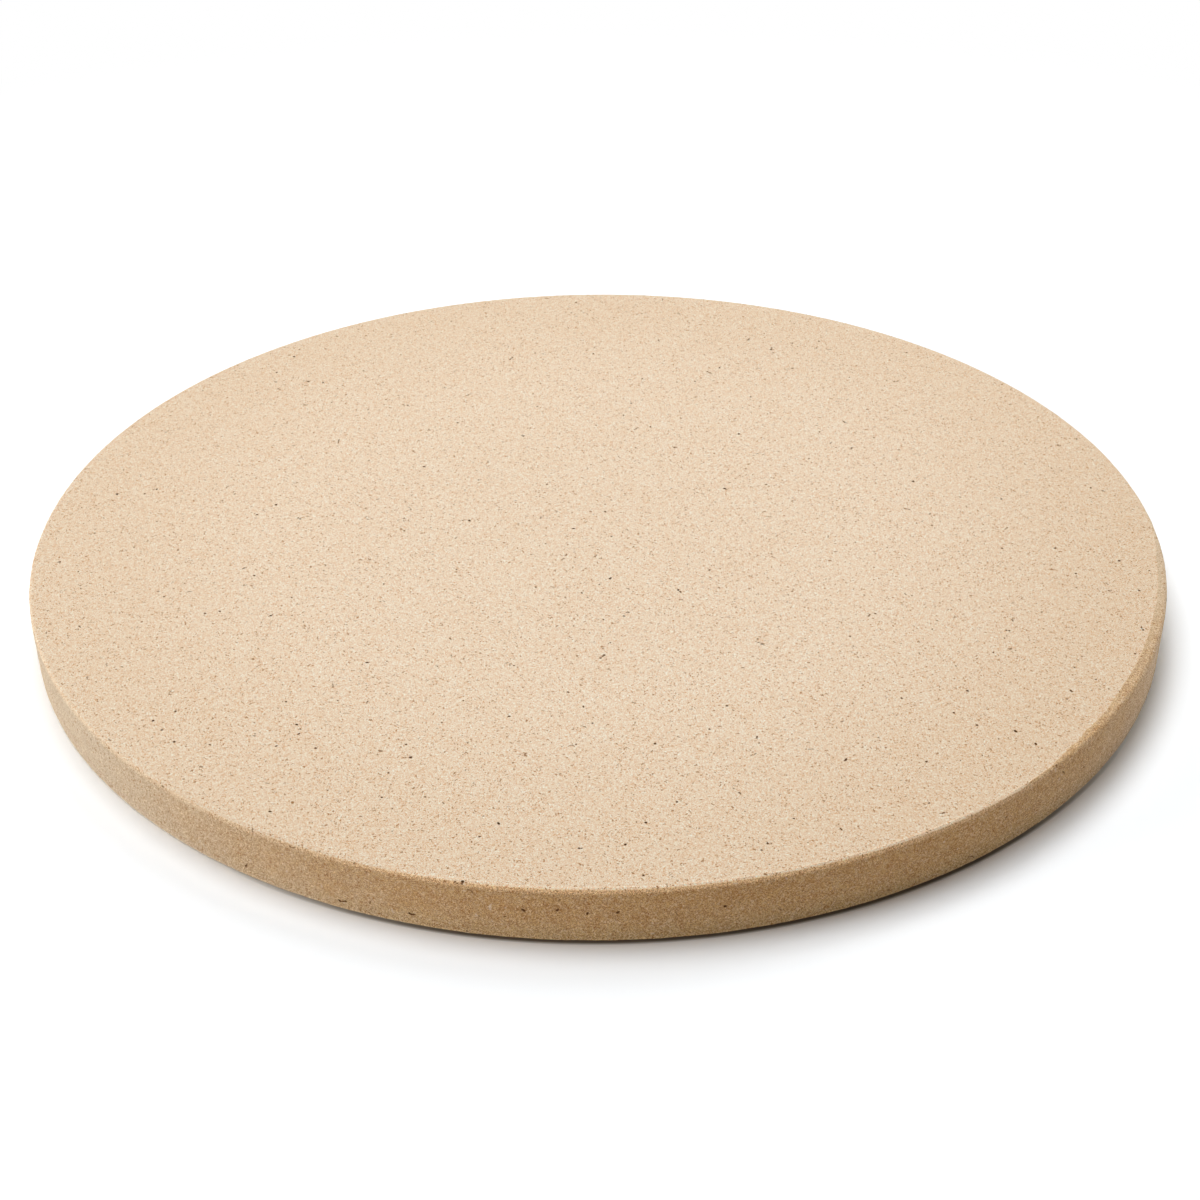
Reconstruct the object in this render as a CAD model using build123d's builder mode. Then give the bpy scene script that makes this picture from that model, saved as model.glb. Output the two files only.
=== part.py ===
from build123d import *
import os

# A round pizza stone: one solid disc of unglazed cordierite ceramic, dry-pressed and fired in one piece.
# Millimetres. The origin is the centre of the underside, which rests on the oven rack, and +Z is up.

# Driving sizes
diameter = 330.0
thickness = 15.9

# Edge rounds, which the press die leaves so that the brittle rim doesn't chip
rim_round = 0.8
foot_round = 0.7

os.makedirs("parts", exist_ok=True)

# Baking stone: the die's half section, from the underside's centre out to the rim, turned about the upright axis
radius = diameter / 2
with BuildPart() as baking_stone:
    with BuildSketch(Plane.XZ) as half_section:
        with BuildLine() as outline:
            skin = FilletPolyline(
                (0, 0),
                (radius, 0),
                (radius, thickness),
                (0, thickness),
                radius=[foot_round, rim_round],
            )
            core = Line(skin @ 1, skin @ 0)
        make_face()
    revolve(axis=Axis.Z)
baking_stone.part.label = "baking_stone"
export_step(baking_stone.part, "parts/baking_stone.step")
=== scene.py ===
"""Looks of a round pizza stone: one slab of pressed, unglazed cordierite ceramic on a pale floor."""
import logging
import math
import random
from dataclasses import dataclass, field
from enum import Enum
from typing import Callable, Optional, Union

import bpy
from mathutils import Matrix, Vector
from mathutils.kdtree import KDTree


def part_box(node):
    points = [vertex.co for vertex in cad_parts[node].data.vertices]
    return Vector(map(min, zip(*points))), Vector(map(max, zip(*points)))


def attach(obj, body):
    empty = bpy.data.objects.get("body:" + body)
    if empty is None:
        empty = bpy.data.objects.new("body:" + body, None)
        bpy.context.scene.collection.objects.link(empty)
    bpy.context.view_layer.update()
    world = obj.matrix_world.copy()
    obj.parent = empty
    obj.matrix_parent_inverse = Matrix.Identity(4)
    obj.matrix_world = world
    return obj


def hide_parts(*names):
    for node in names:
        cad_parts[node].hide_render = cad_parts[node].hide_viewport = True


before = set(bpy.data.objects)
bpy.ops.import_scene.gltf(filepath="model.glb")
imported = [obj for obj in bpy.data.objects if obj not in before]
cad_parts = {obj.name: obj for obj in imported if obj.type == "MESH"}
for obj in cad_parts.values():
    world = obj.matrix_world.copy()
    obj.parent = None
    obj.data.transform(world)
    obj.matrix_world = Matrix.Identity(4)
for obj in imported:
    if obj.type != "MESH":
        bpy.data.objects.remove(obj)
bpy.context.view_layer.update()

log = logging.getLogger("pizza_stone")

MM = 0.001
NODE = "baking_stone"
BODY = "root"
BAKED_MAP = "OFBake"

# Places closer than this count as one
TOUCHING = 0.01 * MM

# The pinholes' walls have the piece's second material
WALL_MATERIAL = 1

Colour = tuple[float, float, float]
Span = tuple[float, float]
Point = tuple[float, float]
Socket = bpy.types.NodeSocket
Piece = bpy.types.Object
Sockets = dict[str, Socket]
Feed = Union[Socket, float, Colour]

WHITE: Colour = (1.0, 1.0, 1.0)


class Surface(Enum):
    """The surfaces of the slab that pinholes open on."""

    BAKING_FACE = "baking face"
    UNDERSIDE = "underside"
    SIDE_BAND = "side band"
    RIM = "rim"


@dataclass(frozen=True)
class Graph:
    """Adds nodes to the node tree of a material, a world or a node group, and joins them."""

    tree: bpy.types.NodeTree

    def add(self, kind: str, inputs: Optional[dict[Union[str, int], Feed]] = None,
            **settings: object) -> bpy.types.Node:
        """Adds one node.

        Args:
            kind: The node's type without its ShaderNode prefix.
            inputs: What goes into its sockets, as values or as other nodes' outputs.
            settings: The node's own properties.

        Returns:
            The new node.
        """
        node = self.tree.nodes.new("ShaderNode" + kind)
        for name, value in settings.items():
            setattr(node, name, value)
        for name, value in (inputs or {}).items():
            self.feed(node.inputs[name], value)
        return node

    def feed(self, socket: Socket, value: Feed) -> None:
        """Links an output to a socket, or sets the socket's own value.

        Args:
            socket: The input that takes the value.
            value: Another node's output, a number or a colour.
        """
        if isinstance(value, bpy.types.NodeSocket):
            self.tree.links.new(value, socket)
        elif socket.type == "RGBA" and isinstance(value, tuple):
            socket.default_value = (*value, 1.0)
        else:
            socket.default_value = value

    def math(self, operation: str, first: Feed, second: Feed = 0.0, third: Feed = 0.0) -> Socket:
        """Adds a Math node.

        Args:
            operation: The Math node's operation, such as MULTIPLY_ADD.
            first: The first operand.
            second: The second operand.
            third: The third operand, for the operations that have one.

        Returns:
            The node's output.
        """
        node = self.add("Math", operation=operation)
        for socket, value in zip(node.inputs, (first, second, third)):
            self.feed(socket, value)
        return node.outputs[0]

    def swing(self, value: Feed, width: float) -> Socket:
        """Spreads a value between 0 and 1 evenly about 0, over a width."""
        return self.math("MULTIPLY_ADD", value, width, -0.5 * width)

    def blend(self, factor: Feed, first: Feed, second: Feed, mode: str = "MIX") -> Socket:
        """Adds a colour Mix node.

        Args:
            factor: How much of the second colour shows.
            first: The colour underneath.
            second: The colour on top.
            mode: The Mix node's blend type.

        Returns:
            The mixed colour.
        """
        node = self.add("Mix", data_type="RGBA", blend_type=mode)
        self.feed(node.inputs["Factor"], factor)
        for socket, value in zip([s for s in node.inputs if s.type == "RGBA"], (first, second)):
            self.feed(socket, value)
        return next(s for s in node.outputs if s.type == "RGBA")

    def step(self, value: Feed, low: float, high: float, start: float = 0.0, end: float = 1.0) -> Socket:
        """Adds a smooth step between two values.

        Args:
            value: The value.
            low: Where the step begins.
            high: Where the step ends.
            start: The result before the step.
            end: The result after the step.

        Returns:
            The stepped value.
        """
        sizes = {"Value": value, "From Min": low, "From Max": high, "To Min": start, "To Max": end}
        return self.add("MapRange", sizes, interpolation_type="SMOOTHSTEP").outputs["Result"]

    def vector(self, operation: str, first: Feed, second: Feed = (0.0, 0.0, 0.0)) -> Socket:
        """Adds a Vector Math node and returns its output, a vector or a number."""
        node = self.add("VectorMath", {0: first, 1: second}, operation=operation)
        return node.outputs["Value" if operation in ("LENGTH", "DOT_PRODUCT") else "Vector"]

    def reach(self, place: Socket) -> Socket:
        """Measures how far a place lies from the upright axis."""
        return self.vector("LENGTH", self.vector("MULTIPLY", place, (1.0, 1.0, 0.0)))

    def facing(self, place: Socket, azimuth: float, radius: float) -> Socket:
        """Measures how far from the axis a place lies towards an azimuth, in radii."""
        towards = (math.cos(azimuth) / radius, math.sin(azimuth) / radius, 0.0)
        return self.vector("DOT_PRODUCT", place, towards)

    def seen(self) -> Socket:
        """Gives 1 for the rays that show a thing and 0 for those that light others by it."""
        ray = self.add("LightPath").outputs
        seen = self.math("MAXIMUM", ray["Is Camera Ray"], ray["Is Glossy Ray"])
        return self.math("MAXIMUM", seen, ray["Is Transmission Ray"])

    def feed_shader(self, inputs: dict[str, Feed]) -> None:
        """Feeds the inputs of the material's own shader."""
        for name, value in inputs.items():
            self.feed(self.tree.nodes["Principled BSDF"].inputs[name], value)


def build_group(name: str, inputs: dict[str, float], outputs: tuple[str, ...],
                fill: Callable[[Graph, Sockets], Sockets]) -> bpy.types.NodeTree:
    """Builds one shader node group with named sockets.

    Args:
        name: The group's name.
        inputs: The number sockets with their default values; Vector is added before them.
        outputs: The number sockets that the group puts out.
        fill: Adds the group's nodes and returns the sockets for its outputs.

    Returns:
        The node group.
    """
    tree = bpy.data.node_groups.new(name, "ShaderNodeTree")
    tree.interface.new_socket("Vector", in_out="INPUT", socket_type="NodeSocketVector")
    for label, value in inputs.items():
        socket = tree.interface.new_socket(label, in_out="INPUT", socket_type="NodeSocketFloat")
        socket.default_value = value
    for label in outputs:
        tree.interface.new_socket(label, in_out="OUTPUT", socket_type="NodeSocketFloat")
    start = tree.nodes.new("NodeGroupInput")
    end = tree.nodes.new("NodeGroupOutput")
    made = fill(Graph(tree), {socket.name: socket for socket in start.outputs if socket.name})
    for label in outputs:
        tree.links.new(made[label], end.inputs[label])
    return tree


@dataclass(frozen=True)
class PressedGrain:
    """The node group for the fine crumb of pressed grains."""

    grain_swing: float = 7.0
    clot_scale: float = 0.60
    clot_swing: float = 8.0
    stroke_width: float = 0.6
    stroke_strength: float = 2.3
    relief: float = 0.15

    def build(self) -> bpy.types.NodeTree:
        """Builds the group."""
        outputs = ("Tone", "Crumb", "Height", "Thread")
        return build_group("ceramic_grain", {"Size": 0.5 * MM}, outputs, self.fill)

    def fill(self, graph: Graph, given: Sockets) -> Sockets:
        """Adds the group's nodes.

        Args:
            graph: The group's graph.
            given: The group's input sockets: Vector and Size, the width of a grain in metres.

        Returns:
            Tone, the single grains and their short light and dark strokes about 0; Crumb, the same for clots
            of grains; Height, the relief of both; and Thread, the light strokes alone.
        """
        scale = graph.math("DIVIDE", 1.0, given["Size"])
        fine = graph.add("TexNoise", {"Vector": given["Vector"], "Scale": scale,
                                      "Detail": 1.0, "Roughness": 0.65, "Distortion": 0.8})
        clot = graph.add("TexNoise", {"Vector": given["Vector"],
                                      "Scale": graph.math("MULTIPLY", scale, self.clot_scale),
                                      "Detail": 1.0, "Roughness": 0.6, "Distortion": 1.8})
        parts = graph.add("SeparateColor", {"Color": clot.outputs["Color"]}).outputs
        crumb = graph.swing(clot.outputs["Fac"], self.clot_swing)
        green, blue = (graph.math("ABSOLUTE", graph.swing(parts[name], self.clot_swing))
                       for name in ("Green", "Blue"))
        thread, crack = (graph.step(away, 0.0, self.stroke_width, 1.0, 0.0) for away in (green, blue))
        strokes = graph.math("MULTIPLY", graph.math("SUBTRACT", thread, crack), self.stroke_strength)
        tone = graph.math("ADD", strokes, graph.swing(fine.outputs["Fac"], self.grain_swing))
        height = graph.math("MULTIPLY_ADD", graph.math("ADD", tone, crumb), self.relief, 0.5)
        return {"Tone": tone, "Crumb": crumb, "Height": height, "Thread": thread}


@dataclass(frozen=True)
class Pinpricks:
    """The node group for pinpricks and specks that are too small to be cut."""

    drift_scale: float = 1.3
    drift_length: float = 1.4
    luck: Span = (0.35, 0.75)
    softness: float = 0.35

    def build(self) -> bpy.types.NodeTree:
        """Builds the group."""
        return build_group("pinprick_pores", {"Spacing": 1.5 * MM, "Share": 0.2}, ("Mask",), self.fill)

    def fill(self, graph: Graph, given: Sockets) -> Sockets:
        """Adds the group's nodes.

        Args:
            graph: The group's graph.
            given: The group's input sockets: Vector, Spacing in metres and Share, the largest speck's reach
                in spacings.

        Returns:
            Mask, 1 in a speck and 0 beside it. The specks differ in size, and some places have none.
        """
        spacing, share = given["Spacing"], given["Share"]
        scale = graph.math("DIVIDE", 1.0, spacing)
        drift = graph.add("TexNoise", {"Vector": given["Vector"], "Detail": 0.0,
                                       "Scale": graph.math("MULTIPLY", scale, self.drift_scale)})
        middle = graph.vector("SUBTRACT", drift.outputs["Color"], (0.5, 0.5, 0.5))
        sway = graph.vector("MULTIPLY", middle, graph.math("MULTIPLY", spacing, self.drift_length))
        moved = graph.vector("ADD", given["Vector"], sway)
        cells = graph.add("TexVoronoi", {"Vector": moved, "Scale": scale})
        chance = graph.add("SeparateColor", {"Color": cells.outputs["Color"]}).outputs["Red"]
        reach = graph.math("MULTIPLY", graph.step(chance, *self.luck), share)
        rise = graph.math("DIVIDE", graph.math("SUBTRACT", reach, cells.outputs["Distance"]),
                          graph.math("MULTIPLY", share, self.softness))
        return {"Mask": graph.math("MAXIMUM", graph.math("MINIMUM", rise, 1.0), 0.0)}


@dataclass(frozen=True)
class Textures:
    """The node groups that the stone's finishes share, each built once."""

    grain: bpy.types.NodeTree = field(default_factory=lambda: PressedGrain().build())
    pores: bpy.types.NodeTree = field(default_factory=lambda: Pinpricks().build())


def start_material(name: str) -> tuple[bpy.types.Material, Graph]:
    """Starts a material that is made of nodes.

    Args:
        name: The material's name.

    Returns:
        The material and its graph.
    """
    material = bpy.data.materials.new(name)
    material.use_nodes = True
    return material, Graph(material.node_tree)


@dataclass(frozen=True)
class Speckle:
    """One kind of small speck in the ceramic: how far apart, how large, how strong and of what colour."""

    spacing: float
    share: float
    strength: float
    tint: Colour
    depth: float = 0.0


@dataclass(frozen=True)
class PressedCeramic:
    """Unglazed cordierite as it leaves the kiln: cream faces, a browner side band, a fine crumb all over.

    A span is where a smooth step begins and where it ends. Those of the side browned by painted shade, of the
    side that carries the painted highlights, of the shaded side and of the crept over side are counted in
    radii towards that side, upper and lower ones in thicknesses, and edge and band ones in rim rounds
    inwards.
    """

    radius: float
    thickness: float
    rim: float
    name: str = "pressed_ceramic"

    face_tint: Colour = (0.843, 0.655, 0.444)
    band_tint: Colour = (0.632, 0.508, 0.363)
    # Painted shade: the side band browns towards the front, the side that faces away from the lamps
    painted_shade_tint: Colour = (0.55, 0.335, 0.143)
    painted_shade_azimuth: float = math.radians(285)
    painted_shade_span: Span = (0.34, 1.0)
    painted_shade_drift: float = 0.3
    outer_warmth: float = 0.155
    # Painted shade: the face darkens and browns towards the right front, away from the lamps
    aside_painted_shade: float = 0.10
    aside_start: float = 0.4

    # Painted shade, shaped by height on that side: deeper and browner under the rim, paler towards the foot
    upper_gain: Colour = (0.94, 0.91, 0.855)
    upper_span: Span = (0.25, 0.85)
    lower_gain: Colour = (1.07, 1.17, 1.28)
    lower_span: Span = (0.45, 0.1)
    # Painted light: a pale line at the foot, standing in for the floor's bounce
    painted_foot_bounce: Colour = (1.28, 1.38, 1.48)
    foot_span: Span = (1.4 * MM, 0.5 * MM)

    # Painted highlights on the rim round and along the face's edge, strongest at the front
    painted_highlight_span: Span = (0.72, 0.98)
    painted_edge_highlight: Colour = (1.28, 1.29, 1.30)
    edge_span: Span = (1.7, 0.8)
    painted_rim_highlight: Colour = (1.53, 1.54, 1.54)
    rim_span: Span = (0.6 * MM, 1.9 * MM)
    rim_cream: float = 0.25
    rim_least: float = 0.28
    rim_ragged: float = 0.12 * MM
    shaded_span: Span = (0.65, 0.9)
    shaded_light: float = 0.35

    creep_azimuth: float = math.radians(335)
    creep_span: Span = (0.88, 0.985)
    creep_drift: float = 0.3
    creep_width: float = 2.9 * MM
    creep_share: float = 0.85
    creep_painted_shade: float = 0.35
    band_span: Span = (0.6, 0.25)
    band_ragged: float = 0.05 * MM

    grain_size: float = 0.33 * MM
    clot_size: float = 3.2
    cloud_size: float = 9 * MM
    cloud_swing: float = 3.0
    crumb_share: float = 0.09
    face_contrast: float = 0.88
    band_contrast: float = 0.9
    shade_side_contrast: float = 0.9
    thread_tint: Colour = (0.74, 0.60, 0.44)
    thread_share: float = 0.38

    light_gain: Colour = (1.14, 1.50, 2.05)
    band_light_gain: Colour = (1.45, 1.58, 1.66)
    lightest: float = 2.2
    band_lightest: float = 3.1
    dark_gain: Colour = (0.70, 0.31, 0.08)
    band_dark_gain: Colour = (0.50, 0.27, 0.15)
    darkest: float = -3.0
    pit_tint: Colour = (0.62, 0.33, 0.12)
    band_pit_tint: Colour = (0.36, 0.205, 0.09)
    pit_span: Span = (-1.6, -3.4)
    pit_share: float = 0.55
    specks: tuple[Speckle, ...] = (
        Speckle(spacing=1.1 * MM, share=0.26, strength=1.00, tint=(0.37, 0.18, 0.06), depth=0.2),
        Speckle(spacing=0.8 * MM, share=0.30, strength=1.00, tint=(0.42, 0.185, 0.052), depth=0.2),
        Speckle(spacing=3.0 * MM, share=0.12, strength=1.00, tint=(0.27, 0.145, 0.06), depth=0.3),
        Speckle(spacing=3.1 * MM, share=0.17, strength=0.42, tint=(0.90, 0.80, 0.66)),
    )

    bump_strength: float = 0.4
    bump_depth: float = 0.06 * MM
    roughness: float = 0.86
    roughness_swing: float = -0.02
    specular: float = 0.35

    def build(self, textures: Textures) -> bpy.types.Material:
        """Makes the material.

        Args:
            textures: The shared node groups.

        Returns:
            The finished material.
        """
        material, graph = start_material(self.name)
        place = graph.add("TexCoord").outputs["Object"]
        grain, clots = (
            graph.add("Group", {"Vector": place, "Size": size}, node_tree=textures.grain).outputs
            for size in (self.grain_size, self.clot_size * self.grain_size))
        cloud = graph.add("TexNoise", {"Vector": place, "Scale": 1 / self.cloud_size,
                                       "Detail": 3.0, "Roughness": 0.62}).outputs["Fac"]

        band, painted_shade, colour = self.fire(graph, place, grain["Tone"], cloud)
        thread = graph.math("MULTIPLY", clots["Thread"], graph.math("MULTIPLY", band, self.thread_share))
        colour = graph.blend(thread, colour, self.thread_tint)

        wide = graph.math("ADD", grain["Crumb"], graph.swing(cloud, self.cloud_swing))
        wide = graph.math("ADD", clots["Tone"], wide)
        crumb = graph.math("MULTIPLY_ADD", wide, self.crumb_share, grain["Tone"])
        more = self.band_contrast - self.face_contrast
        contrast = graph.math("MULTIPLY_ADD", painted_shade, self.shade_side_contrast, more)
        contrast = graph.math("MULTIPLY_ADD", band, contrast, self.face_contrast)
        crumb = graph.math("MULTIPLY", crumb, contrast)
        colour = self.crumble(graph, colour, band, crumb, grain["Tone"])

        height = grain["Height"]
        for speck in self.specks:
            given = {"Vector": place, "Spacing": speck.spacing, "Share": speck.share}
            mask = graph.add("Group", given, node_tree=textures.pores).outputs["Mask"]
            colour = graph.blend(graph.math("MULTIPLY", mask, speck.strength), colour, speck.tint)
            height = graph.math("MULTIPLY_ADD", mask, -speck.depth, height)

        bump = graph.add("Bump", {"Height": height, "Strength": self.bump_strength,
                                  "Distance": self.bump_depth})
        roughness = graph.math("MULTIPLY_ADD", grain["Tone"], self.roughness_swing, self.roughness)
        graph.feed_shader({"Base Color": colour, "Normal": bump.outputs["Normal"], "Roughness": roughness,
                           "Specular IOR Level": self.specular})
        return material

    def crumble(self, graph: Graph, colour: Socket, band: Socket, crumb: Socket, tone: Socket) -> Socket:
        """Lightens and darkens a colour grain by grain.

        Args:
            graph: The material's graph.
            colour: The colour without its grain.
            band: The mask of the side band.
            crumb: How light or dark the place is, about 0.
            tone: The single grains' tone, whose deepest places are pits.

        Returns:
            The colour with its grain.
        """
        lightest = graph.math("MULTIPLY_ADD", band, self.band_lightest - self.lightest, self.lightest)
        light = graph.blend(band, self.light_gain, self.band_light_gain)
        gain = graph.blend(graph.math("DIVIDE", crumb, lightest), WHITE, light)
        dark = graph.blend(band, self.dark_gain, self.band_dark_gain)
        gain = graph.blend(graph.step(crumb, 0.0, self.darkest), gain, dark)
        colour = graph.blend(1.0, colour, gain, "MULTIPLY")
        pit = graph.math("MULTIPLY", graph.step(tone, *self.pit_span), self.pit_share)
        return graph.blend(pit, colour, graph.blend(band, self.pit_tint, self.band_pit_tint))

    def fire(self, graph: Graph, place: Socket, tone: Socket, cloud: Socket) -> tuple[Socket, Socket, Socket]:
        """Colours the slab: cream faces, a light orange rim with a painted highlight, and a side browned by
        painted shade on the side away from the lamps.

        Args:
            graph: The material's graph.
            place: The object coordinates.
            tone: The grain's tone, which makes the borders ragged.
            cloud: The wide mottling, which lets the painted shade fade unevenly.

        Returns:
            The mask of the side band, how much painted shade that place has, and the colour.
        """
        reach = graph.reach(place)
        height = graph.add("SeparateXYZ", {"Vector": place}).outputs["Z"]
        facing = graph.facing(place, self.painted_shade_azimuth, self.radius)
        aside = graph.facing(place, self.creep_azimuth, self.radius)
        drift = graph.swing(cloud, self.painted_shade_drift)
        # Painted shade: how far the side band browns towards the front, away from the lamps
        painted_shade = graph.step(graph.math("ADD", facing, drift), *self.painted_shade_span)
        # Where the painted highlights are strongest: the front
        painted_highlight = graph.step(facing, *self.painted_highlight_span)
        crept = graph.step(graph.math("MULTIPLY_ADD", drift, self.creep_drift, aside), *self.creep_span)

        side = graph.blend(painted_shade, self.band_tint, self.painted_shade_tint)
        # The painted shade deepens under the rim and pales towards the foot
        for span, gain in ((self.upper_span, self.upper_gain), (self.lower_span, self.lower_gain)):
            share = graph.step(height, span[0] * self.thickness, span[1] * self.thickness)
            side = graph.blend(graph.math("MULTIPLY", painted_shade, share), side, gain, "MULTIPLY")
        # Painted light: a pale line at the foot, standing in for the floor's bounce
        side = graph.blend(graph.step(height, *self.foot_span), side, self.painted_foot_bounce, "MULTIPLY")

        # Painted highlight on the rim round: full at the front, least elsewhere, weaker towards the shaded
        # right front
        rim_highlight_share = graph.math("MULTIPLY_ADD", painted_highlight, 1.0 - self.rim_least, self.rim_least)
        rim_highlight_share = graph.math("MULTIPLY", rim_highlight_share, graph.step(aside, *self.shaded_span, 1.0, self.shaded_light))
        rim = graph.blend(self.rim_cream, side, self.face_tint)
        rim = graph.blend(rim_highlight_share, rim, self.painted_rim_highlight, "MULTIPLY")
        # Where the band creeps over the rim, a share of the painted shade colour browns the rim
        brown = graph.blend(self.creep_painted_shade, side, self.painted_shade_tint)
        rim = graph.blend(graph.math("MULTIPLY", crept, self.creep_share), rim, brown)
        high = graph.math("MULTIPLY_ADD", tone, self.rim_ragged, height)
        below = graph.math("SUBTRACT", self.thickness, high)
        side = graph.blend(graph.step(below, *self.rim_span), rim, side)

        # The face warms towards its edge all round, and painted shade darkens it towards the right front
        warmth_and_shade = graph.math("ADD", graph.step(reach, 0.5 * self.radius, self.radius, 0.0, self.outer_warmth),
                          graph.step(aside, self.aside_start, 1.0, 0.0, self.aside_painted_shade))
        face = graph.blend(warmth_and_shade, self.face_tint, self.painted_shade_tint)
        # Painted highlight along the face's edge at the front
        pale = graph.math("MULTIPLY", graph.step(reach, *self.inside(self.edge_span)), painted_highlight)
        face = graph.blend(pale, face, self.painted_edge_highlight, "MULTIPLY")

        out = graph.math("MULTIPLY_ADD", crept, self.creep_width, reach)
        out = graph.math("MULTIPLY_ADD", tone, self.band_ragged, out)
        band = graph.step(out, *self.inside(self.band_span))
        return band, painted_shade, graph.blend(band, face, side)

    def inside(self, span: Span) -> Span:
        """Turns a span of rim rounds, counted inwards from the side, into distances from the axis."""
        return self.radius - span[0] * self.rim, self.radius - span[1] * self.rim


@dataclass(frozen=True)
class PinholeWall:
    """The inside of a pinhole: tan at its lip and, below, dark brown painted shade where light hardly
    reaches.
    """

    radius: float
    thickness: float
    name: str = "pinhole_wall"
    lip_tint: Colour = (0.70, 0.455, 0.245)
    deep_painted_shade: Colour = (0.30, 0.155, 0.065)
    lip_depth: float = 0.05 * MM
    dark_depth: float = 0.22 * MM
    grain_strength: float = 0.1
    roughness: float = 0.95
    specular: float = 0.1

    def build(self, textures: Textures) -> bpy.types.Material:
        """Makes the material.

        Args:
            textures: The shared node groups.

        Returns:
            The finished material.
        """
        material, graph = start_material(self.name)
        place = graph.add("TexCoord").outputs["Object"]
        grain = graph.add("Group", {"Vector": place}, node_tree=textures.grain).outputs
        height = graph.add("SeparateXYZ", {"Vector": place}).outputs["Z"]
        depth = graph.math("MINIMUM", graph.math("SUBTRACT", self.thickness, height), height)
        depth = graph.math("MINIMUM", depth, graph.math("SUBTRACT", self.radius, graph.reach(place)))
        # Painted shade: the wall darkens with depth into the pinhole
        dark = graph.step(depth, self.lip_depth, self.dark_depth)
        colour = graph.blend(dark, self.lip_tint, self.deep_painted_shade)
        shade = graph.math("MULTIPLY_ADD", grain["Tone"], self.grain_strength, 1.0)
        graph.feed_shader({"Base Color": graph.vector("MULTIPLY", colour, shade),
                           "Roughness": self.roughness, "Specular IOR Level": self.specular})
        return material


@dataclass(frozen=True)
class PaleFloor:
    """A plain pale floor: white as the camera sees it, with the stone's shadow on it and a painted contact
    shadow at the front of the foot.
    """

    foot: float
    name: str = "pale_floor"
    seen_tint: Colour = (1.10, 1.13, 1.155)
    bounce_tint: Colour = (0.93, 0.90, 0.86)
    # Painted shadow: a dark ring on the floor under the front of the stone's foot
    painted_shadow_tint: Colour = (0.16, 0.135, 0.11)
    painted_shadow_reach: float = 1.4 * MM
    painted_shadow_azimuth: float = math.radians(282)
    painted_shadow_span: Span = (0.62, 0.95)
    shadow_span: Span = (0.30, 0.55)

    def build(self) -> bpy.types.Material:
        """Makes the material.

        Returns:
            The finished material.
        """
        material, graph = start_material(self.name)
        nodes = material.node_tree.nodes
        nodes.remove(nodes["Principled BSDF"])
        seen = graph.seen()
        place = graph.add("TexCoord").outputs["Object"]
        reach = graph.reach(place)
        # Painted contact shadow: darkest at the foot, on the front only
        facing = graph.facing(place, self.painted_shadow_azimuth, self.foot)
        painted_shadow = graph.math("MULTIPLY", graph.step(facing, *self.painted_shadow_span),
                             graph.step(reach, self.foot, self.foot + self.painted_shadow_reach, 1.0, 0.0))
        shown = graph.blend(painted_shadow, self.seen_tint, self.painted_shadow_tint)
        diffuse = graph.add("BsdfDiffuse", {"Color": graph.blend(seen, self.bounce_tint, shown)})
        away = graph.math("MULTIPLY", graph.step(reach, *self.shadow_span), seen)
        glow = graph.add("Emission", {"Color": WHITE, "Strength": 1.0})
        mix = graph.add("MixShader", {0: away, 1: diffuse.outputs[0], 2: glow.outputs[0]})
        graph.feed(nodes["Material Output"].inputs["Surface"], mix.outputs[0])
        return material


def activate(piece: Piece) -> None:
    """Makes a piece the only one selected and the active one.

    Args:
        piece: The piece.
    """
    bpy.ops.object.select_all(action="DESELECT")
    piece.select_set(True)
    bpy.context.view_layer.objects.active = piece


def select_elements(piece: Piece, kind: str, wanted: Callable[[object], bool]) -> None:
    """Selects edges or faces by their place and enters edit mode.

    Args:
        piece: The active piece, in object mode.
        kind: EDGE or FACE.
        wanted: Says of each element whether it is selected.
    """
    bpy.ops.object.mode_set(mode="EDIT")
    bpy.ops.mesh.select_mode(type=kind)
    bpy.ops.mesh.select_all(action="DESELECT")
    bpy.ops.object.mode_set(mode="OBJECT")
    for element in (piece.data.edges if kind == "EDGE" else piece.data.polygons):
        if wanted(element):
            element.select = True
    bpy.ops.object.mode_set(mode="EDIT")


def join_all(pieces: list[Piece]) -> Piece:
    """Joins pieces into the first of them.

    Args:
        pieces: The pieces, at least one.

    Returns:
        The joined piece.
    """
    activate(pieces[0])
    for piece in pieces[1:]:
        piece.select_set(True)
    bpy.ops.object.join()
    return bpy.context.object


def delete_all(pieces: list[Piece]) -> None:
    """Deletes pieces that were only needed on the way."""
    for piece in pieces:
        bpy.data.objects.remove(piece)


def index_places(places: list[Vector]) -> KDTree:
    """Makes places quick to search.

    Args:
        places: The places.

    Returns:
        The search tree, with each place's number in the list.
    """
    tree = KDTree(len(places))
    for index, place in enumerate(places):
        tree.insert(place, index)
    tree.balance()
    return tree


@dataclass(frozen=True)
class Pinhole:
    """One open bubble: where its mouth lies, the way it faces and how large it is."""

    place: Vector
    outward: Vector
    width: float
    stretch: float
    depth: float
    turn: float
    lump: int

    @property
    def reach(self) -> float:
        """How far it goes from the middle of its mouth."""
        return max(0.5 * self.width * math.sqrt(self.stretch), self.depth)

    def pose(self, sink: float) -> Matrix:
        """Gives the matrix that puts a lump of radius 1 at its place.

        Args:
            sink: How deep its middle lies, in depths.

        Returns:
            The matrix.
        """
        wide = 0.5 * self.width * math.sqrt(self.stretch)
        narrow = 0.5 * self.width / math.sqrt(self.stretch)
        middle = self.place - self.outward * (sink * self.depth)
        towards = self.outward.to_track_quat("Z", "Y").to_matrix().to_4x4()
        size = Matrix.Diagonal((wide, narrow, self.depth, 1.0))
        return Matrix.Translation(middle) @ towards @ Matrix.Rotation(self.turn, 4, "Z") @ size


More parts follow.
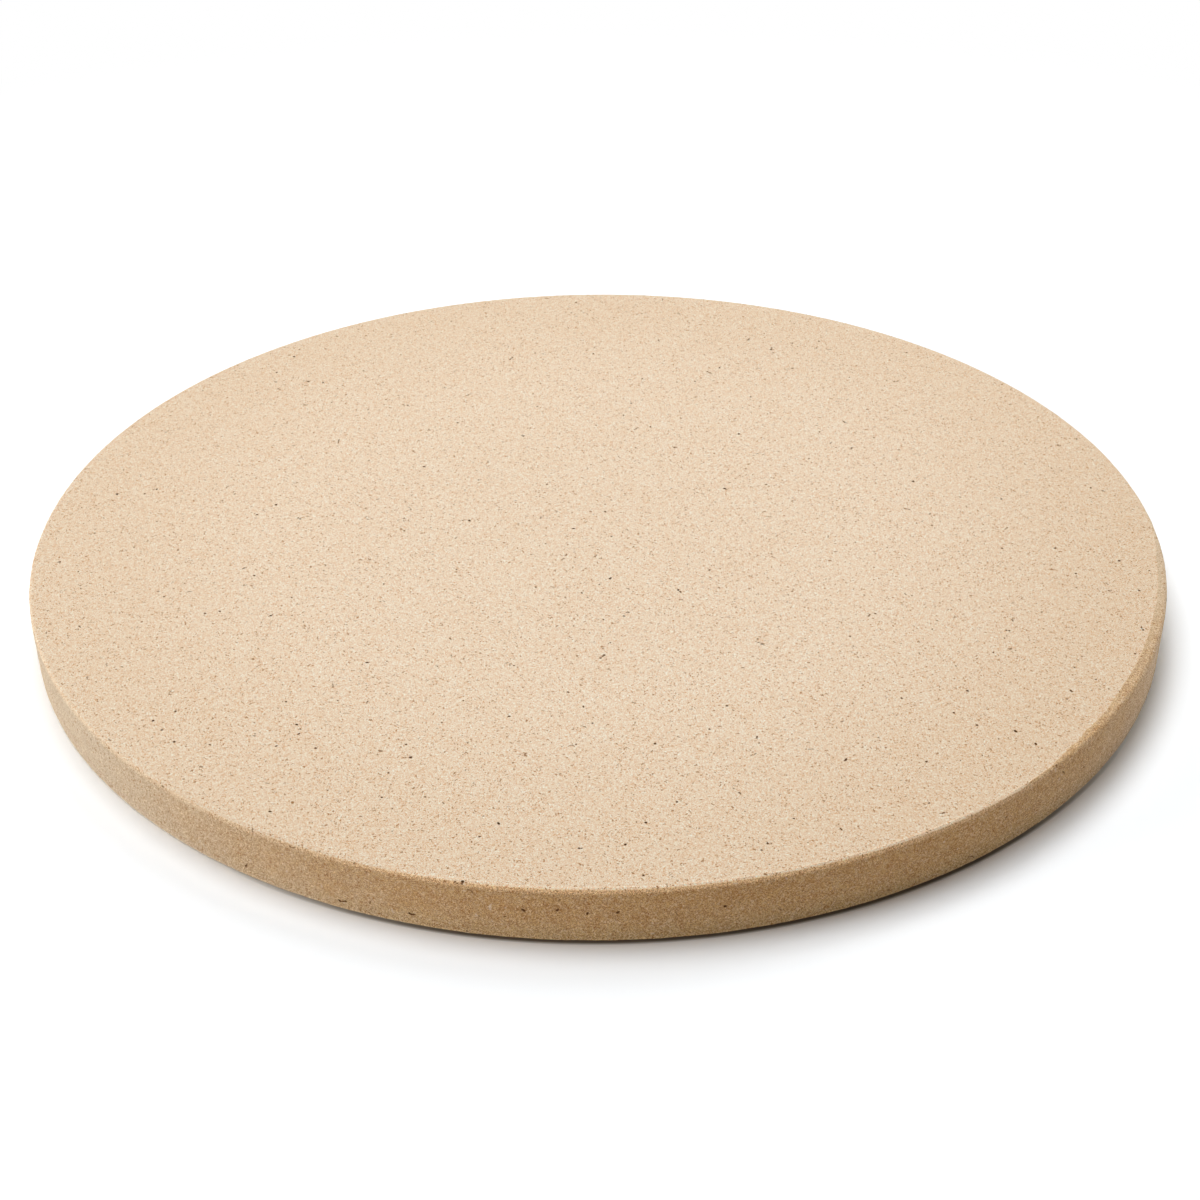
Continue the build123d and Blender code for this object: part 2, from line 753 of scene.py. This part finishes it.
@dataclass(frozen=True)
class Pinholes:
    """The open bubbles that the pressing leaves: singles, pairs and short chains on every surface.

    The ones that the photograph shows are given in millimetres: x and y on the face, the azimuth in degrees
    and the height on the side band, and the least and the greatest width.
    """

    radius: float
    thickness: float
    rim_round: float
    counts: dict[Surface, int] = field(default_factory=lambda: {
        Surface.BAKING_FACE: 560, Surface.UNDERSIDE: 380, Surface.SIDE_BAND: 90, Surface.RIM: 26})
    seen_on_face: tuple[Point, ...] = (
        (-23, -98), (14, -110), (-107, -108), (-79, -136), (33, -94), (-4, -94), (-76, -105), (28, -104),
        (-24, -141), (96, -103), (96, -88), (34, -130), (11, -141), (-71, -111), (-109, -49), (-109, -95),
        (-77, -101), (-81, -110), (6, -149), (10, -160), (-111, -103), (-114, -99), (152, -40), (81, -118))
    seen_face_width: Span = (0.72, 0.88)
    seen_on_band: tuple[Point, ...] = ((269.0, 8.7), (271.4, 9.0), (280.1, 8.4), (266.6, 9.6))
    seen_band_width: Span = (0.7, 0.9)
    usual_width: float = 0.50 * MM
    spread: float = 0.32
    least_width: float = 0.26 * MM
    most_width: float = 1.05 * MM
    stretch: Span = (1.0, 1.9)
    depth: Span = (0.45, 0.8)
    chain_odds: tuple[int, ...] = (72, 16, 8, 4)
    chain_bend: float = 0.6
    chain_gap: Span = (0.75, 1.5)
    face_margin: float = 3 * MM
    face_end: float = 2.6 * MM
    band_margins: Span = (1.6 * MM, 2.2 * MM)
    band_ends: Span = (1.5 * MM, 2 * MM)
    rim_lean: Span = (15, 75)
    sink: float = 0.25
    clearance: float = 1.2
    lump_kinds: int = 6
    roughness: float = 0.17
    seed: int = 11

    def scatter(self) -> list[Pinhole]:
        """Places every pinhole.

        Returns:
            The pinholes.
        """
        chance = random.Random(self.seed)
        holes = []
        for x, y in self.seen_on_face:
            place = Vector((x * MM, y * MM, self.thickness))
            width = chance.uniform(*self.seen_face_width) * MM
            holes.append(self.make(Surface.BAKING_FACE, place, width, chance))
        for azimuth, height in self.seen_on_band:
            place = Matrix.Rotation(math.radians(azimuth), 3, "Z") @ Vector((self.radius, 0.0, height * MM))
            width = chance.uniform(*self.seen_band_width) * MM
            holes.append(self.make(Surface.SIDE_BAND, place, width, chance))
        for surface, count in self.counts.items():
            placed = 0
            while placed < count:
                chain = self.make_chain(surface, chance)
                placed += len(chain)
                holes.extend(chain)
        return holes

    def make_chain(self, surface: Surface, chance: random.Random) -> list[Pinhole]:
        """Makes a single pinhole, a pair or a short chain.

        Args:
            surface: The surface that it opens on.
            chance: The source of random numbers.

        Returns:
            The pinholes of the chain.
        """
        chain = []
        place = self.pick(surface, chance)
        heading = chance.uniform(0.0, math.tau)
        for _ in range(chance.choices(range(1, len(self.chain_odds) + 1), weights=self.chain_odds)[0]):
            width = self.usual_width * math.exp(chance.gauss(0.0, self.spread))
            width = min(max(width, self.least_width), self.most_width)
            hole = self.make(surface, place, width, chance)
            chain.append(hole)
            heading += chance.gauss(0.0, self.chain_bend)
            flat = Vector((math.cos(heading), math.sin(heading), 0.0))
            across = hole.outward.to_track_quat("Z", "Y") @ flat
            place = place + across * (width * chance.uniform(*self.chain_gap))
        return chain

    def pick(self, surface: Surface, chance: random.Random) -> Vector:
        """Picks a place on a surface.

        Args:
            surface: The surface.
            chance: The source of random numbers.

        Returns:
            A point near the surface.
        """
        turn = Matrix.Rotation(chance.uniform(0.0, math.tau), 3, "Z")
        if surface is Surface.SIDE_BAND:
            low, high = self.band_margins[0], self.thickness - self.band_margins[1]
            return turn @ Vector((self.radius, 0.0, chance.uniform(low, high)))
        if surface is Surface.RIM:
            lean = math.radians(chance.uniform(*self.rim_lean))
            out = self.radius - self.rim_round * (1 - math.sin(lean))
            return turn @ Vector((out, 0.0, self.thickness - self.rim_round * (1 - math.cos(lean))))
        height = self.thickness if surface is Surface.BAKING_FACE else 0.0
        return turn @ Vector(((self.radius - self.face_margin) * math.sqrt(chance.random()), 0.0, height))

    def make(self, surface: Surface, near: Vector, width: float, chance: random.Random) -> Pinhole:
        """Makes one pinhole at the point of a surface that is nearest to a place.

        Args:
            surface: The surface that it opens on.
            near: A point close to the surface.
            width: How wide it is.
            chance: The source of random numbers.

        Returns:
            The pinhole.
        """
        flat = Vector((near.x, near.y, 0.0))
        out = flat.normalized()
        if surface is Surface.SIDE_BAND:
            height = min(max(near.z, self.band_ends[0]), self.thickness - self.band_ends[1])
            place, outward = out * self.radius + Vector((0.0, 0.0, height)), out
        elif surface is Surface.RIM:
            core = out * (self.radius - self.rim_round) + Vector((0.0, 0.0, self.thickness - self.rim_round))
            outward = (near - core).normalized()
            place = core + outward * self.rim_round
        else:
            up = surface is Surface.BAKING_FACE
            place = out * min(flat.length, self.radius - self.face_end)
            place += Vector((0.0, 0.0, self.thickness if up else 0.0))
            outward = Vector((0.0, 0.0, 1.0 if up else -1.0))
        return Pinhole(place, outward, width, chance.uniform(*self.stretch),
                       width * chance.uniform(*self.depth), chance.uniform(0.0, math.tau),
                       chance.randrange(self.lump_kinds))

    def mould_lumps(self) -> list[Piece]:
        """Models the few uneven lumps that the bubbles are copies of.

        Returns:
            The lumps, each of radius 1.
        """
        lumps = []
        for kind in range(self.lump_kinds):
            bpy.ops.mesh.primitive_ico_sphere_add(subdivisions=2, radius=1.0)
            bpy.ops.object.mode_set(mode="EDIT")
            bpy.ops.mesh.select_all(action="SELECT")
            bpy.ops.transform.vertex_random(offset=self.roughness, uniform=1.0, normal=0.0, seed=kind)
            bpy.ops.object.mode_set(mode="OBJECT")
            lumps.append(bpy.context.object)
        return lumps

    def layers(self, holes: list[Pinhole]) -> list[list[Pinhole]]:
        """Sorts the pinholes so that none touches another of its layer.

        Args:
            holes: The pinholes.

        Returns:
            The layers, each a list of pinholes that stand apart.
        """
        tree = index_places([hole.place for hole in holes])
        layers: list[list[Pinhole]] = []
        layer_of: dict[int, int] = {}
        widest = max(hole.reach for hole in holes)
        for index, hole in enumerate(holes):
            taken = set()
            for _, other, gap in tree.find_range(hole.place, (hole.reach + widest) * self.clearance):
                if other in layer_of and gap < (hole.reach + holes[other].reach) * self.clearance:
                    taken.add(layer_of[other])
            layer_of[index] = next(n for n in range(len(holes)) if n not in taken)
            if layer_of[index] == len(layers):
                layers.append([])
            layers[layer_of[index]].append(hole)
        return layers

    def make_cutter(self, holes: list[Pinhole], lumps: list[Piece]) -> Piece:
        """Copies the lumps to the pinholes' places and joins the copies.

        Args:
            holes: The pinholes of one layer.
            lumps: The lumps to copy.

        Returns:
            The joined cutter.
        """
        copies = []
        for hole in holes:
            mesh = lumps[hole.lump].data.copy()
            mesh.transform(hole.pose(self.sink))
            copy = bpy.data.objects.new("bubble", mesh)
            bpy.context.scene.collection.objects.link(copy)
            copies.append(copy)
        return join_all(copies)


@dataclass(frozen=True)
class FlatMap:
    """The flat map for baked looks: the faces as discs, the side band in strips, the pits in one patch."""

    radius: float
    scale: float = 2.42
    level: float = 0.7
    face_middle: Point = (0.5, 0.403)
    strips: int = 4
    strip_start: Point = (0.01, 0.816)
    strip_pitch: float = 0.045
    pit_middle: Point = (0.86, 0.905)
    pit_reach: float = 0.06
    pit_shrink: float = 0.9
    pit_depth: float = 0.8 * MM

    def lay(self, mesh: bpy.types.Mesh, holes: list[Pinhole]) -> None:
        """Lays the map on a mesh.

        Args:
            mesh: The slab's finished mesh.
            holes: The pinholes cut into it.
        """
        layer = mesh.uv_layers.new(name=BAKED_MAP)
        finder = index_places([hole.place for hole in holes])
        for face in mesh.polygons:
            corners = [mesh.vertices[index].co for index in face.vertices]
            if face.material_index == WALL_MATERIAL:
                _, index, _ = finder.find(face.center)
                spots = [self.map_pit(holes[index], corner) for corner in corners]
            elif abs(face.normal.z) > self.level:
                spots = [Vector(self.face_middle) + corner.xy * self.scale for corner in corners]
            else:
                middle = math.atan2(face.center.y, face.center.x)
                spots = [self.map_band(middle, corner) for corner in corners]
            for loop, spot in zip(face.loop_indices, spots):
                layer.uv[loop].vector = spot

    def map_band(self, middle: float, corner: Vector) -> Vector:
        """Finds a side corner's place in the strip of its part of a turn.

        Args:
            middle: The azimuth of the corner's face, in radians.
            corner: The corner.

        Returns:
            The place on the flat map.
        """
        part = math.tau / self.strips
        strip = int((middle % math.tau) / part) % self.strips
        azimuth = (math.atan2(corner.y, corner.x) - middle + math.pi) % math.tau - math.pi + middle % math.tau
        along = (azimuth - strip * part) * self.radius * self.scale
        up = self.strip_pitch * strip + corner.z * self.scale
        return Vector(self.strip_start) + Vector((along, up))

    def map_pit(self, hole: Pinhole, corner: Vector) -> Vector:
        """Finds a pit corner's place in the round patch that all the pits share, its mouth outermost.

        Args:
            hole: The pinhole.
            corner: The corner.

        Returns:
            The place on the flat map.
        """
        away = hole.outward.to_track_quat("Z", "Y").inverted() @ (corner - hole.place)
        angle = math.atan2(away.y, away.x)
        sunk = min(max(-away.z, 0.0) / self.pit_depth, 1.0)
        reach = self.pit_reach * (1.0 - self.pit_shrink * sunk)
        return Vector(self.pit_middle) + Vector((math.cos(angle), math.sin(angle))) * reach


@dataclass
class Slab:
    """The pressed slab itself: a disc with a rounded rim and foot, an edge dented slightly by wear, and
    pinholes.
    """

    radius: float
    thickness: float
    rim_round: float = 0.8 * MM
    foot_round: float = 0.7 * MM
    segments: int = 1200
    rim_steps: int = 5
    foot_steps: int = 4
    band_rows: int = 11
    edge_rings: tuple[float, ...] = (0.6 * MM, 0.8 * MM, 1.2 * MM)
    ring_corners: int = 8
    grid: float = 24 * MM
    level: float = 0.999
    wear: tuple[tuple[float, float], ...] = ((9.0 * MM, 0.16 * MM), (1.8 * MM, 0.14 * MM))
    worn_reach: float = 0.6 * MM
    crisp_angle: float = math.radians(40)
    piece: Optional[Piece] = field(default=None, init=False)

    def press(self) -> None:
        """Makes the disc with its rounded edges and the rows and rings that its relief needs."""
        bpy.ops.mesh.primitive_cylinder_add(
            vertices=self.segments, radius=self.radius, depth=self.thickness,
            location=(0, 0, self.thickness / 2), end_fill_type="NGON")
        self.piece = bpy.context.object
        self.piece.name = self.piece.data.name = "pizza_stone"
        bpy.ops.object.transform_apply(location=True, rotation=True, scale=True)
        self.round_edge(self.thickness, self.rim_round, self.rim_steps)
        self.round_edge(0.0, self.foot_round, self.foot_steps)
        self.cut_rows()
        self.cut_rings()
        self.cut_grid()

    def round_edge(self, height: float, radius: float, steps: int) -> None:
        """Rounds the edge at one height.

        Args:
            height: Where the edge lies.
            radius: The round's radius.
            steps: How many faces the round has across it.
        """
        points = self.piece.data.vertices
        select_elements(self.piece, "EDGE",
                        lambda e: all(abs(points[i].co.z - height) < TOUCHING for i in e.vertices))
        bpy.ops.mesh.bevel(offset=radius, segments=steps, profile=0.5, affect="EDGES")
        bpy.ops.object.mode_set(mode="OBJECT")

    def cut_rows(self) -> None:
        """Cuts the side band into even rows."""
        low, high = self.foot_round, self.thickness - self.rim_round
        for row in range(1, self.band_rows):
            height = low + (high - low) * row / self.band_rows
            bpy.ops.object.mode_set(mode="EDIT")
            bpy.ops.mesh.select_all(action="SELECT")
            bpy.ops.mesh.bisect(plane_co=(0, 0, height), plane_no=(0, 0, 1))
            bpy.ops.object.mode_set(mode="OBJECT")

    def cut_rings(self) -> None:
        """Insets both faces into narrow rings beside the edges."""
        for height in (self.thickness, 0.0):
            select_elements(
                self.piece, "FACE",
                lambda f: len(f.vertices) == self.segments and abs(f.center.z - height) < TOUCHING)
            for width in self.edge_rings:
                bpy.ops.mesh.inset(thickness=width)
            bpy.ops.object.mode_set(mode="OBJECT")

    def cut_grid(self) -> None:
        """Divides both faces into squares, so that no face is left with hundreds of holes."""
        lines = int(self.radius / self.grid)
        for normal in ((1, 0, 0), (0, 1, 0)):
            for line in range(-lines, lines + 1):
                select_elements(self.piece, "FACE", self.is_inner)
                bpy.ops.mesh.bisect(plane_co=Vector(normal) * (line * self.grid), plane_no=normal)
                bpy.ops.object.mode_set(mode="OBJECT")

    def is_inner(self, face: bpy.types.MeshPolygon) -> bool:
        """Tells whether a face is level and lies inside the narrow rings."""
        inner = self.radius - self.rim_round - sum(self.edge_rings)
        within = face.center.xy.length < inner - TOUCHING
        return abs(face.normal.z) > self.level and (len(face.vertices) > self.ring_corners or within)

    def wear_edge(self) -> None:
        """Wears the side band, the rim and the foot inwards by up to a few tenths of a millimetre."""
        group = self.piece.vertex_groups.new(name="worn_edge")
        start = self.radius - self.worn_reach
        group.add([v.index for v in self.piece.data.vertices if v.co.xy.length > start], 1.0, "REPLACE")
        activate(self.piece)
        for size, depth in self.wear:
            clouds = bpy.data.textures.new("edge_wear", "CLOUDS")
            clouds.noise_scale = size
            modifier = self.piece.modifiers.new("edge_wear", "DISPLACE")
            modifier.texture = clouds
            modifier.texture_coords = "LOCAL"
            modifier.strength = depth
            modifier.mid_level = 1.0
            modifier.vertex_group = group.name
            bpy.ops.object.modifier_apply(modifier=modifier.name)

    def pierce(self, pinholes: Pinholes) -> list[Pinhole]:
        """Cuts the pinholes, their walls in the piece's second material.

        Args:
            pinholes: The pinholes to scatter and cut.

        Returns:
            The pinholes that were cut.
        """
        holes = pinholes.scatter()
        lumps = pinholes.mould_lumps()
        for layer in pinholes.layers(holes):
            cutter = pinholes.make_cutter(layer, lumps)
            for material in self.piece.data.materials:
                cutter.data.materials.append(material)
            for face in cutter.data.polygons:
                face.material_index = WALL_MATERIAL
            activate(self.piece)
            modifier = self.piece.modifiers.new("pinholes", "BOOLEAN")
            modifier.operation = "DIFFERENCE"
            modifier.solver = "MANIFOLD"
            modifier.object = cutter
            bpy.ops.object.modifier_apply(modifier=modifier.name)
            delete_all([cutter])
            log.info("cut %d pinholes", len(layer))
        delete_all(lumps)
        return holes

    def smooth(self) -> None:
        """Smooths the shading, with the pinholes' mouths kept crisp."""
        activate(self.piece)
        bpy.ops.object.shade_smooth_by_angle(angle=self.crisp_angle)
        select_elements(self.piece, "FACE", lambda f: f.material_index == WALL_MATERIAL)
        bpy.ops.mesh.region_to_loop()
        bpy.ops.mesh.mark_sharp()
        bpy.ops.object.mode_set(mode="OBJECT")

    def count(self) -> int:
        """Counts the triangles of the piece."""
        self.piece.data.calc_loop_triangles()
        return len(self.piece.data.loop_triangles)


@dataclass(frozen=True)
class Viewpoint:
    """The camera, at the photograph's angle."""

    elevation: float = math.radians(31.85)
    distance: float = 593.2 * MM
    lens: float = 58.83
    sensor: float = 36.0
    nearest: float = 0.01
    farthest: float = 50.0
    yaw: float = math.radians(-0.05)
    tilt: float = math.radians(-0.98)
    roll: float = math.radians(0.34)

    def place(self) -> None:
        """Creates the camera and makes it the scene's own."""
        data = bpy.data.cameras.new("camera")
        data.lens = self.lens
        data.sensor_width = self.sensor
        data.clip_start = self.nearest
        data.clip_end = self.farthest
        camera = bpy.data.objects.new("camera", data)
        bpy.context.scene.collection.objects.link(camera)
        towards = Matrix.Rotation(math.pi / 2 - self.elevation, 4, "X")
        aim = (Matrix.Rotation(self.yaw, 4, "Y") @ Matrix.Rotation(self.tilt, 4, "X")
               @ Matrix.Rotation(-self.roll, 4, "Z"))
        away = Vector((0, -math.cos(self.elevation), math.sin(self.elevation))) * self.distance
        camera.matrix_world = Matrix.Translation(away) @ towards @ aim
        bpy.context.scene.camera = camera


@dataclass(frozen=True)
class Softbox:
    """One large soft lamp that faces the stone. Its azimuth and elevation are in degrees."""

    name: str
    azimuth: float
    elevation: float
    distance: float
    width: float
    share: float

    def place(self) -> None:
        """Creates the lamp, as strong as its share of the light on a level face at the origin."""
        azimuth, elevation = math.radians(self.azimuth), math.radians(self.elevation)
        data = bpy.data.lights.new(self.name, "AREA")
        data.shape = "DISK"
        data.size = self.width
        spread = self.distance ** 2 + (self.width / 2) ** 2
        data.energy = self.share * math.pi ** 2 * spread / math.sin(elevation)
        lamp = bpy.data.objects.new(self.name, data)
        bpy.context.scene.collection.objects.link(lamp)
        flat = math.cos(elevation)
        away = Vector((flat * math.cos(azimuth), flat * math.sin(azimuth), math.sin(elevation)))
        turned = away.to_track_quat("Z", "Y").to_matrix().to_4x4()
        lamp.matrix_world = Matrix.Translation(away * self.distance) @ turned


@dataclass(frozen=True)
class Studio:
    """The floor, the lamps and the plain surroundings. Shares of 1 in all light a colour as it is written."""

    foot: float
    floor_size: float = 8.0
    softboxes: tuple[Softbox, ...] = (
        Softbox("key_softbox", azimuth=130, elevation=71, distance=4.0, width=2.69, share=0.57),
        Softbox("back_softbox", azimuth=77, elevation=45, distance=3.6, width=1.53, share=0.18),
        Softbox("left_softbox", azimuth=195, elevation=13, distance=1.8, width=0.66, share=0.088),
        Softbox("right_softbox", azimuth=32, elevation=9, distance=1.8, width=0.66, share=0.04),
        Softbox("front_fill", azimuth=272, elevation=10, distance=1.8, width=0.66, share=0.012),
    )
    surroundings: Colour = (0.10, 0.10, 0.10)

    def build(self) -> None:
        """Lays the floor, hangs the lamps and sets the world."""
        bpy.ops.mesh.primitive_plane_add(size=self.floor_size)
        floor = bpy.context.object
        floor.name = "floor"
        floor.data.materials.append(PaleFloor(self.foot).build())
        for softbox in self.softboxes:
            softbox.place()
        world = bpy.data.worlds.new("studio")
        world.use_nodes = True
        bpy.context.scene.world = world
        graph = Graph(world.node_tree)
        back = world.node_tree.nodes["Background"]
        graph.feed(back.inputs["Color"], graph.blend(graph.seen(), self.surroundings, WHITE))
        bpy.context.scene.view_settings.view_transform = "Standard"


def main() -> None:
    """Builds the studio and the stone in order."""
    logging.basicConfig(level=logging.INFO, format="%(message)s")
    low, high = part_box(NODE)
    Viewpoint().place()
    Studio(foot=high.x).build()
    slab = Slab(radius=(high.x - low.x) / 2, thickness=high.z - low.z)
    slab.press()
    slab.wear_edge()
    textures = Textures()
    for finish in (PressedCeramic(slab.radius, slab.thickness, slab.rim_round),
                   PinholeWall(slab.radius, slab.thickness)):
        slab.piece.data.materials.append(finish.build(textures))
    holes = slab.pierce(Pinholes(slab.radius, slab.thickness, slab.rim_round))
    slab.smooth()
    FlatMap(slab.radius).lay(slab.piece.data, holes)
    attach(slab.piece, BODY)
    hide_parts(NODE)
    log.info("%s: %d triangles", slab.piece.name, slab.count())


if __name__ == "__main__":
    main()
